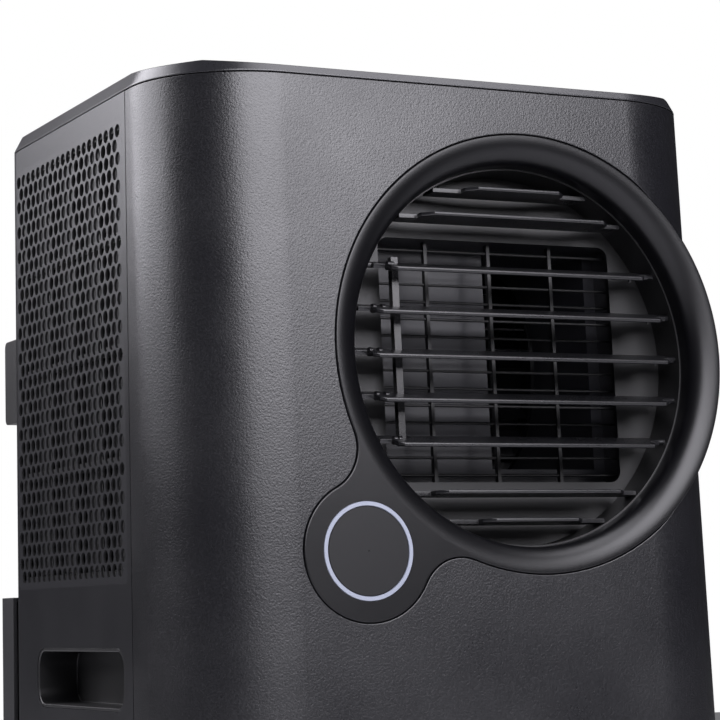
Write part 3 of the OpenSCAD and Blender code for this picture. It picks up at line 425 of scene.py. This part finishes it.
# Brow cuts: x, distance behind the front, height, in mm, and the turn about Z in degrees
BROWS = ((0, 2.5, 766.1, 0), (-191, 33.3, 769.2, -55), (191, 33.3, 769.2, 55))
lid = begin("plane", "lid", size=1, location=(0, (LID_FRONT + LID_BACK) / 2, LID_Z),
            scale=(2 * HALF_W, LID_BACK - LID_FRONT, 1))
pick(lid, "VERT", lambda at, way: at.y < 0)
bpy.ops.mesh.bevel(offset=CORNER_R, affect="VERTICES", segments=40)
pick(lid, "VERT", lambda at, way: at.y > LID_BACK - 1 * MM and abs(at.x) > HALF_W - 10 * MM)
bpy.ops.mesh.bevel(offset=REAR_CORNER_R, affect="VERTICES", segments=16)
everything(lid)
bpy.ops.mesh.extrude_region_move(TRANSFORM_OT_translate={"value": (0, 0, LID_FOOT)})
bpy.ops.mesh.inset(thickness=LID_RIM, depth=LID_TOP - LID_Z - LID_FOOT)
for x, behind, z, turn in BROWS:
    turn = math.radians(turn)
    everything(lid)
    bpy.ops.mesh.bisect(plane_co=(x * MM, LID_FRONT + behind * MM, z * MM),
                        plane_no=(BROW_SLOPE * math.sin(turn), -BROW_SLOPE * math.cos(turn), 1),
                        use_fill=True, clear_outer=True)
everything(lid)
bpy.ops.mesh.normals_make_consistent(inside=False)
use(lid, "BEVEL", width=0.7 * MM, segments=3, limit_method="ANGLE", angle_limit=math.radians(9))
smooth(lid, 25)
hand_over(lid, lid_abs, nodes=["top_cover"])

# %% [markdown]
# ## Shells with softened edges
# A moulded shell never has a knife edge: the tool leaves a small radius that catches a line
# of light. The CAD shells have the right shape, so each is copied, its triangles are welded
# back into whole faces, and a bevel rounds every sharp edge by half a millimetre or so.

# %% Softened shells
SHELLS = {
    "front_panel": (spark_abs, "front_skin", 0.6),
    "side_panel_left": (satin_abs, "side_skin", 0.5),
    "side_panel_right": (satin_abs, "side_skin", 0.5),
    "rear_cover": (rear_abs, "side_skin", 0.8),
    "rear_panel": (rear_abs, "side_skin", 0.5),
    "base_tray": (rear_abs, "dark_plastic", 0.6),
    "grip_left": (duct_pp, "dark_plastic", 0.7),
    "grip_right": (duct_pp, "dark_plastic", 0.7),
    "exhaust_collar": (duct_pp, "dark_plastic", 0.7),
    "cable_gland": (rubber, "dark_plastic", 0.6),
}
for node, (finish, slot, radius) in SHELLS.items():
    shell = softened(node, "soft_" + node, radius)
    hand_over(shell, finish, nodes=[node])

# %% [markdown]
# ## Turned pieces
# The bezel, the disc and the light ring are round about one axis. They are modelled lying
# flat: a circle is extruded ring by ring, and each new ring is scaled to the next radius of
# the profile. That gives clean quads all round, which a smooth highlight needs. A quarter
# turn about X then stands the piece up, and the matrix of the outlet puts it on the face.

# %% Turning ring by ring
STAND = Matrix.Rotation(math.pi / 2, 4, "X")


def turned(name, profile, steps=192):
    """Closed solid of revolution from (radius, depth) points in mm, depth going down."""
    radius, depth = profile[0]
    obj = begin("circle", name, vertices=steps, radius=radius * MM, location=(0, 0, -depth * MM))
    everything(obj)
    for next_radius, next_depth in profile[1:]:
        bpy.ops.mesh.extrude_edges_move(TRANSFORM_OT_translate={"value": (0, 0, (depth - next_depth) * MM)})
        factor = next_radius / radius
        bpy.ops.transform.resize(value=(factor, factor, 1), center_override=(0, 0, 0))
        radius, depth = next_radius, next_depth
    bpy.ops.mesh.select_all(action="DESELECT")
    bpy.ops.mesh.select_non_manifold()
    bpy.ops.mesh.bridge_edge_loops()
    everything(obj)
    bpy.ops.mesh.normals_make_consistent(inside=False)
    bpy.ops.object.mode_set(mode="OBJECT")
    return obj


def arc(centre_r, centre_d, radius_r, radius_d, start, end, count):
    """Points of an elliptical arc in a (radius, depth) profile, angles in degrees."""
    points = []
    for i in range(count + 1):
        angle = math.radians(start + (end - start) * i / count)
        points.append((centre_r + radius_r * math.cos(angle), centre_d + radius_d * math.sin(angle)))
    return points


# %% [markdown]
# ## The bezel
# The real bezel is one moulding: a ring whose lip rolls inward in a quarter of an
# ellipse, and a flat lobe at the lower left that carries the touch disc. Ring and lobe meet
# in two hollow fillets. The ring is turned. The lobe is cut from flat plates with booleans,
# because its outline is made of circles, and its rim gets the same radius as the ring's.

# %% Bezel ring
EDGE = 1.3
outer_edge = arc(RING_R - EDGE, EDGE, EDGE, EDGE, 0, -90, 5)
roll = [(BORE_R + (RING_R - EDGE - BORE_R) * (1 - math.sin(t)), LIP_D * (1 - math.cos(t)))
        for t in (math.radians(90 * i / 20) for i in range(1, 21))]
back = [(130.6, 21), (134, 21), (134, 16), (147, 5), (147, BEZEL_D)]
bezel = turned("bezel", [(RING_R, BEZEL_D)] + outer_edge + roll + back, steps=256)
print("bezel ring", len(bezel.data.polygons), "faces")

# %% Lobe with its hollow fillets
NECK_R = 30
to_lobe, to_ring = LOBE_R + NECK_R, RING_R + NECK_R
along = (to_ring ** 2 - to_lobe ** 2 + LOBE_DIST ** 2) / (2 * LOBE_DIST)
aside = math.sqrt(to_ring ** 2 - along ** 2)
TURN = Matrix.Rotation(math.radians(-135), 4, "Z")
LOBE_T, SEAT_R = 3, 32.3


def disc(name, radius, at, depth=LOBE_T, top=0, steps=160):
    """Flat round plate in mm, centred at a point of the lobe's own axis."""
    return begin("cylinder", name, vertices=steps, radius=radius * MM, depth=depth * MM,
                 location=(at[0] * MM, at[1] * MM, (top - depth / 2) * MM))


lobe = begin("circle", "lobe", vertices=4, radius=1, fill_type="NGON")
corners = {(1, 0): (LOBE_DIST, 0), (0, 1): (along, aside), (-1, 0): (0, 0), (0, -1): (along, -aside)}
for old, new in corners.items():
    pick(lobe, "VERT", lambda at, way: (at.xy - Vector(old)).length < 1e-4 and at.xy.length > 0.5)
    bpy.ops.transform.translate(value=(new[0] * MM - old[0], new[1] * MM - old[1], 0))
everything(lobe)
bpy.ops.mesh.extrude_region_move(TRANSFORM_OT_translate={"value": (0, 0, -LOBE_T * MM)})
everything(lobe)
bpy.ops.mesh.normals_make_consistent(inside=False)
for side in (1, -1):
    cut(lobe, disc("fillet", NECK_R, (along, side * aside), 20, 10))
cut(lobe, disc("round_end", LOBE_R, (LOBE_DIST, 0)), "UNION")
cut(lobe, disc("ring_room", RING_R - EDGE, (0, 0), 20, 10, 256))
cut(lobe, disc("light_room", SEAT_R, (LOBE_DIST, 0), 20, 10))
everything(lobe)
bpy.ops.mesh.dissolve_limited(angle_limit=math.radians(0.3))


def on_outline(at, way):
    """Top edges of the lobe's outer rim."""
    flat = abs(way.z) < 0.1 and abs(at.z) < 0.05 * MM
    from_lobe = (at.xy - Vector((LOBE_DIST * MM, 0))).length
    return flat and at.xy.length > (RING_R - 0.1) * MM and from_lobe > (SEAT_R + 7.7) * MM


rim = pick(lobe, "EDGE", on_outline)
bpy.ops.mesh.bevel(offset=EDGE * MM, segments=5, affect="EDGES")
print("lobe rim", rim, "edges")
place(lobe, TURN)
bezel = join("bezel", [bezel, lobe])
place(bezel, ON_FACE @ STAND)
smooth(bezel, 35)
hand_over(bezel, bezel_abs, nodes=["outlet_bezel"])

# %% [markdown]
# ## Touch disc and light ring
# The disc is a flat cap with a fine rounded edge, and the light ring is a clear insert pressed
# round it, a tenth of a millimetre proud. Both are turned about the lobe's centre.

# %% Disc and ring
TO_LOBE = ON_FACE @ Matrix.Translation(LOBE) @ STAND
touch = turned("touch_cap", [(0.4, 3), (28.9, 3), (28.95, 0.5), (28.4, 0.05), (20, 0), (0.4, 0)], 128)
place(touch, TO_LOBE)
smooth(touch, 30)
hand_over(touch, disc_pc, nodes=["touch_disc"])
halo = turned("light_guide", [(29.1, 6), (32.1, 6), (32.1, 0.3), (31.8, -0.1), (29.4, -0.1),
                              (29.1, 0.3)], 128)
place(halo, TO_LOBE)
smooth(halo, 50)
hand_over(halo, light_pmma, nodes=["light_ring"])

# %% [markdown]
# ## The vanes
# Five vanes turn together and four fixed fins fill the round above and below them. Each is a
# thin blade with a rounded front edge. The wide part ends short of the ring, its corners cut
# off at a slant, and narrow ends behind it reach the barrel. One function makes a blade from a
# cube: bisect it, pull out the ends, slant the corners, round the nose.

# %% Blade
CHORD, NOSE, THICK, TAB = 28, 18, 3, 13


def blade(name, front, half, slant):
    """Blade along X with its pivot on the origin and its nose towards -Y, sizes in mm."""
    obj = begin("cube", name, size=1, location=(0, (CHORD / 2 - NOSE) * MM, 0),
                scale=(2 * front * MM, CHORD * MM, THICK * MM))
    everything(obj)
    bpy.ops.mesh.bisect(plane_co=(0, (TAB - NOSE) * MM, 0), plane_no=(0, 1, 0))
    for side in (1, -1):
        pick(obj, "FACE", lambda at, way: way.x * side > 0.9 and at.y > (TAB - NOSE) * MM)
        bpy.ops.mesh.extrude_region_move(TRANSFORM_OT_translate={"value": (side * (half - front) * MM, 0, 0)})
    pick(obj, "EDGE", lambda at, way: abs(way.z) > 0.9 and at.y < (0.1 - NOSE) * MM)
    bpy.ops.mesh.bevel(offset=slant * MM, segments=1, affect="EDGES")
    nose_end = (slant + 0.1 - NOSE) * MM
    pick(obj, "EDGE", lambda at, way: abs(way.z) < 0.1 and at.y < nose_end and abs(at.z) > MM)
    bpy.ops.mesh.bevel(offset=1.3 * MM, segments=4, affect="EDGES")
    return obj


def rod(name, radius, start, end, steps=24):
    """Pin along X between two places in mm, with its rims rounded."""
    obj = begin("cylinder", name, vertices=steps, radius=radius * MM, depth=(end - start) * MM,
                rotation=(0, math.pi / 2, 0), location=((start + end) / 2 * MM, 0, 0))
    use(obj, "BEVEL", width=0.25 * MM, segments=2, limit_method="ANGLE", angle_limit=math.radians(60))
    return obj


def half_chord(radius, height):
    """Half the width of a circle at a height."""
    return math.sqrt(radius ** 2 - height ** 2)


# %% Moving vanes
VANE_Y, VANE_MID, PITCH_Z, TILT = 27.5, 1, 29.5, math.radians(16)
VANE_FRONT_R, VANE_BACK_R = 116.5, 126.5
CRANK, LINK_X, PIN_R, CRANK_R, HUB_R, HUB_W = 7, 88, 2, 1.3, 3.1, 2.5
for index in range(5):
    step = 2 - index
    height = VANE_MID + step * PITCH_Z
    front, half = half_chord(VANE_FRONT_R, height), half_chord(VANE_BACK_R, abs(height) + 5)
    wall = half_chord(BARREL_R, height)
    vane = blade(f"blade_{index + 1}", front, half, 3.5)
    notch = begin("cube", "notch", size=1, location=(-LINK_X * MM, (2.1 + 20) * MM, 0),
                  scale=(10 * MM, 40 * MM, 10 * MM))
    cut(vane, notch)
    use(vane, "BEVEL", width=0.3 * MM, segments=2, limit_method="ANGLE", angle_limit=math.radians(40))
    left = wall + 8 if step == 0 else wall
    pins = [rod("pin_left", PIN_R, -left, -half + 4), rod("pin_right", PIN_R, half - 4, wall)]
    crank = rod("crank_pin", CRANK_R, -LINK_X - 6, -LINK_X + 6)
    place(crank, Matrix.Translation((0, CRANK * MM, 0)))
    near, far = -front + 3.5, min(-front + 10.5, -LINK_X - 6)
    hubs = [rod("hub", HUB_R, near, near + HUB_W), rod("hub", HUB_R, far, far + HUB_W)]
    peg = begin("cube", "peg", size=1, location=((front - 5.5) * MM, -4.5 * MM, -2.2 * MM),
                scale=(2.2 * MM, 2.4 * MM, 3.4 * MM))
    use(peg, "BEVEL", width=0.5 * MM, segments=2)
    vane = join(vane.name, [vane, *pins, crank, *hubs, peg])
    place(vane, ON_FACE @ Matrix.Translation((0, VANE_Y * MM, height * MM)) @ Matrix.Rotation(TILT, 4, "X"))
    smooth(vane, 35)
    hand_over(vane, vane_abs, f"vane_{index + 1}", [f"vane_{index + 1}"])

# %% Fixed fins
fins = []
for height in (-113, -94, 94, 113):
    front, half = half_chord(VANE_FRONT_R + 3, height), half_chord(VANE_BACK_R + 3, abs(height) + 1.5)
    fin = blade("fin", front, half, min(7, front / 3))
    use(fin, "BEVEL", width=0.3 * MM, segments=2, limit_method="ANGLE", angle_limit=math.radians(40))
    place(fin, Matrix.Translation((0, VANE_Y * MM, height * MM)))
    fins.append(fin)
fins = join("fixed_fins", fins)
place(fins, ON_FACE)
smooth(fins, 35)
hand_over(fins, vane_abs, nodes=["fixed_louvres"])

# %% [markdown]
# ## Camera
# A long lens stands low on the left and looks slightly up, so the verticals lean together
# and the round outlet becomes an ellipse.

# %% Camera
EYE = Vector((-780.3, -1573.5, 408.6)) * MM
FOCAL, SENSOR, SHIFT = 120.18, 36, -1 / 12
YAW, PITCH, ROLL = 0.463808612, -0.128935803, -0.027284852
base = Matrix(((1, 0, 0), (0, 0, -1), (0, 1, 0)))
tilt = Matrix.Rotation(ROLL, 3, "Z") @ Matrix.Rotation(PITCH, 3, "X")
look = tilt @ base @ Matrix.Rotation(YAW, 3, "Z")
camera = bpy.data.objects.new("camera", bpy.data.cameras.new("camera"))
bpy.context.scene.collection.objects.link(camera)
axes = Matrix((look[0], -look[1], -look[2])).transposed()
camera.matrix_world = Matrix.Translation(EYE) @ axes.to_4x4()
camera.data.lens = FOCAL
camera.data.sensor_width = SENSOR
camera.data.shift_y = SHIFT
bpy.context.scene.camera = camera
print("camera at", [round(c, 3) for c in camera.location])

# %% [markdown]
# ## Studio
# Dark satin plastic shows little but reflections, so the lights matter more than the colour.
# A big soft light in front gives the broad glow on the front, one behind the left side draws
# the line along the corner, and a weak one above picks out the rim of the lid. The room is
# dim in reflections, so the darks stay dark, and white behind the machine.

# %% Floor and room
clear()
bpy.ops.mesh.primitive_plane_add(size=12)
floor = bpy.context.object
floor.name = "floor"
floor_paint, tree, coord = new_material("floor_paper")
fibre = add(tree, "ShaderNodeTexNoise", Vector=(coord, "Object"), Scale=8.0, Detail=3.0)
tone = add(tree, "ShaderNodeMix", {"data_type": "RGBA"}, _0=(fibre, "Fac"),
           _6=linear("#c6c6ca"), _7=linear("#cdcdd0"))
shader = add(tree, "ShaderNodeBsdfPrincipled", Base_Color=(tone, 2), Roughness=0.8)
add(tree, "ShaderNodeOutputMaterial", Surface=(shader, "BSDF"))
dress(floor, floor_paint)

world = bpy.data.worlds.new("studio")
bpy.context.scene.world = world
world.use_nodes = True
tree = world.node_tree
tree.nodes.clear()
path = add(tree, "ShaderNodeLightPath")
dim = add(tree, "ShaderNodeBackground", Color=(1, 1, 1, 1), Strength=0.015)
pale = add(tree, "ShaderNodeBackground", Color=(1, 1, 1, 1), Strength=1.0)
room = add(tree, "ShaderNodeBackground", Color=(1, 1, 1, 1), Strength=0.3)
unseen = add(tree, "ShaderNodeMixShader", _0=(path, "Is Diffuse Ray"),
           _1=(dim, "Background"), _2=(room, "Background"))
mixed = add(tree, "ShaderNodeMixShader", _0=(path, "Is Camera Ray"),
           _1=(unseen, "Shader"), _2=(pale, "Background"))
add(tree, "ShaderNodeOutputWorld", Surface=(mixed, "Shader"))
bpy.context.scene.view_settings.view_transform = "Standard"


# %% Lights
def soft_light(name, at, aim, size, power, colour=(1, 1, 1)):
    """Area light at a place, turned towards a point."""
    data = bpy.data.lights.new(name, "AREA")
    data.shape = "RECTANGLE"
    data.size, data.size_y = size
    data.energy = power
    data.color = colour
    lamp = bpy.data.objects.new(name, data)
    bpy.context.scene.collection.objects.link(lamp)
    lamp.location = at
    lamp.rotation_euler = (Vector(aim) - Vector(at)).to_track_quat("-Z", "Y").to_euler()
    return lamp


COOL = (0.95, 0.935, 1.0)
soft_light("key_light", (0.04, -1.8, 1.5), (0.02, -0.2, 0.5), (2.0, 1.3), 92, COOL)
soft_light("side_light", (-1.2, 0.8, 1.45), (0.0, 0.1, 0.52), (1.68, 1.25), 48, COOL)
soft_light("top_light", (0.45, -0.75, 2.25), (0.0, -0.1, 0.7), (1.2, 1.0), 20, COOL)
